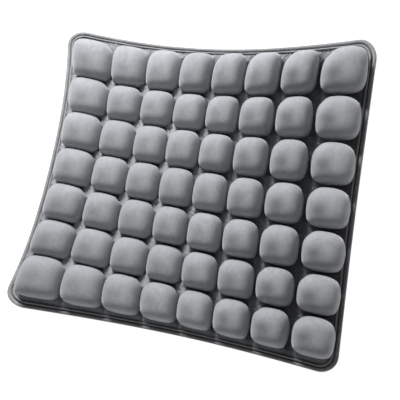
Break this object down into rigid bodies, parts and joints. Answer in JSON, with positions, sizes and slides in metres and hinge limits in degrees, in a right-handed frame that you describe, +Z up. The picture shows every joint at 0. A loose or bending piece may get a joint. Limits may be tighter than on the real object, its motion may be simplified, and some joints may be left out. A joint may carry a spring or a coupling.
{
  "type": "seat cushion",
  "caption": "Inflatable office seat cushion: a grid of puffed fabric-covered air cells with a rounded hem and a capped air valve underneath.",
  "frame": {"origin": "middle of the flat patch of the underside that the cushion rests on", "axes": "+X to the cushion's right along the eight columns of cells, +Y to its back along the seven rows, +Z up out of the cells"},
  "size_m": [0.465, 0.4326, 0.0533],
  "materials": {
    "velour": "short-pile velour laminated over the cells, cool mid grey",
    "hem_fabric": "velour turned over a soft cord, slightly darker grey",
    "non_slip_cloth": "dark woven cloth with small silicone grip dots",
    "cell_film": "flexible translucent grey film, satin",
    "valve_plastic": "moulded, fine matte grain",
    "valve_rubber": "soft matte rubber",
    "spring_steel": "drawn wire"
  },
  "bodies": {
    "cushion": {"top_cover": "velour", "air_cell_row_1": "cell_film", "air_cell_row_2": "cell_film", "air_cell_row_3": "cell_film", "air_cell_row_4": "cell_film", "air_cell_row_5": "cell_film", "air_cell_row_6": "cell_film", "air_cell_row_7": "cell_film", "valve_air_cell": "cell_film", "base_film": "cell_film", "bottom_cover": "non_slip_cloth", "edge_hem": "hem_fabric", "edge_welt": "hem_fabric", "valve_flange": "cell_film", "valve_body": "valve_plastic", "valve_seal": "valve_rubber", "valve_spring": "spring_steel", "cap_hinge_lug": "valve_plastic"},
    "valve_cap": {"valve_cap": "valve_rubber"},
    "valve_plunger": {"valve_plunger": "valve_plastic", "plunger_button": "valve_plastic"}
  },
  "joints": [
    {"name": "cap_flip", "type": "hinge", "parent": "cushion", "child": "valve_cap", "pos_m": [0.16963, 0.04835, 0.0042], "axis": [0, 1, 0], "range_deg": [0, 95]},
    {"name": "valve_press", "type": "slide", "parent": "cushion", "child": "valve_plunger", "axis": [0, 0, 1], "range_m": [0, 0.0025], "stiffness_N_per_m": 400, "springref_m": -0.004, "deforming": ["valve_spring"]}
  ]
}
